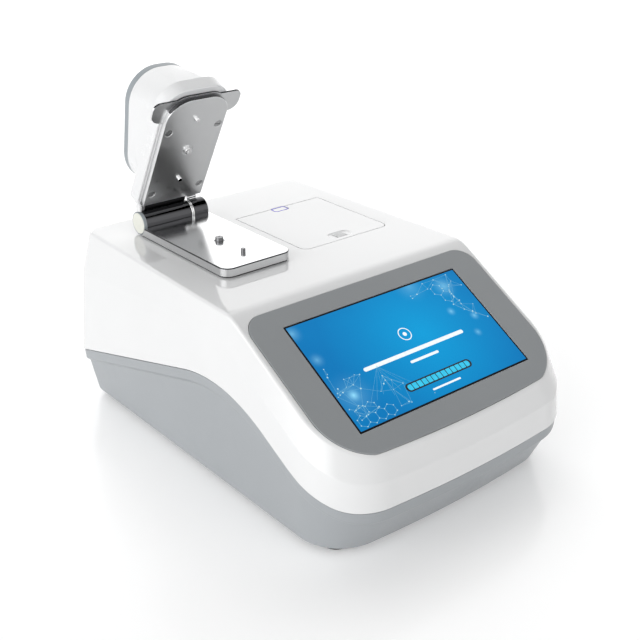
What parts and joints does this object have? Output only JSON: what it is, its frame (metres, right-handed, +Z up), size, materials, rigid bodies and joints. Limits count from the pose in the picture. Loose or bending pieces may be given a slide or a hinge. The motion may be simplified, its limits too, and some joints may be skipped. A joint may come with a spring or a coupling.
{
  "type": "benchtop micro-volume spectrophotometer",
  "caption": "Benchtop spectrophotometer with a sloped touch screen, a hinged sampling arm over a polished plate and a flush lid over a cuvette well.",
  "frame": {"origin": "centre of the footprint on the bench surface", "axes": "+X to the right seen from the user, -Y towards the user (screen side), +Z up"},
  "size_m": [0.2326, 0.3207, 0.2654],
  "materials": {
    "shell_white": "gloss",
    "tray_grey": "satin",
    "panel_grey": "satin",
    "screen_glass": "gloss",
    "polished_steel": "polished",
    "cap_ivory": "gloss",
    "bright_ring": "polished",
    "rubber_black": "matte",
    "black_plastic": "satin",
    "anodised_black": "satin",
    "bare_aluminium": "satin",
    "brass_lamp": "satin",
    "circuit_green": "satin",
    "fibre_orange": "satin",
    "violet_window": "gloss",
    "frame_plastic": "satin"
  },
  "bodies": {
    "housing": {"upper_shell": "shell_white", "base_tray": "tray_grey", "feet": "rubber_black", "foot_screws": "bare_aluminium", "front_panel": "panel_grey", "touch_glass": "screen_glass", "lcd_module": "bare_aluminium", "lcd_bracket": "bare_aluminium", "base_plate": "polished_steel", "plate_gasket": "rubber_black", "plate_screws": "polished_steel", "base_knuckle": "polished_steel", "hinge_shaft": "polished_steel", "hinge_rings": "bright_ring", "stop_pin": "polished_steel", "lower_pedestal": "polished_steel", "locating_post": "polished_steel", "optics_block": "anodised_black", "lamp_module": "brass_lamp", "spectrometer": "anodised_black", "optic_fibre": "fibre_orange", "latch_window": "violet_window", "latch_button": "shell_white", "lid_frame": "frame_plastic", "cuvette_holder": "anodised_black", "cuvette_source": "brass_lamp", "cuvette_detector": "circuit_green", "main_board": "circuit_green", "board_posts": "frame_plastic", "io_board": "circuit_green", "rear_panel": "panel_grey", "dc_inlet": "black_plastic", "usb_host": "bare_aluminium", "usb_device": "bare_aluminium", "lan_port": "bare_aluminium", "switch_frame": "black_plastic"},
    "arm": {"arm_knuckle": "polished_steel", "cap_ring": "panel_grey", "end_cap": "cap_ivory", "arm_plate": "polished_steel", "arm_screws": "polished_steel", "arm_pins": "polished_steel", "wing_plate": "polished_steel", "arm_rim": "shell_white", "head_shell": "shell_white", "head_ring": "tray_grey", "head_cap": "shell_white", "path_actuator": "bare_aluminium", "head_board": "circuit_green"},
    "measuring_head": {"upper_pedestal": "polished_steel"},
    "cuvette_lid": {"lid": "shell_white", "lid_pins": "polished_steel"},
    "switch_rocker": {"rocker": "black_plastic"}
  },
  "joints": [
    {"name": "arm_hinge", "type": "hinge", "parent": "housing", "child": "arm", "pos_m": [-0.0465, 0.124, 0.1493], "axis": [-1, 0, 0], "range_deg": [-61, 14]},
    {"name": "path_slide", "type": "slide", "parent": "arm", "child": "measuring_head", "axis": [0, 0.8746, 0.4848], "range_m": [0, 0.0008]},
    {"name": "lid_hinge", "type": "hinge", "parent": "housing", "child": "cuvette_lid", "pos_m": [0.04275, 0.10295, 0.1385], "axis": [-1, 0, 0], "range_deg": [0, 95]},
    {"name": "power_rocker", "type": "hinge", "parent": "housing", "child": "switch_rocker", "pos_m": [0.05, 0.154, 0.082], "axis": [-1, 0, 0], "range_deg": [0, 14]}
  ]
}
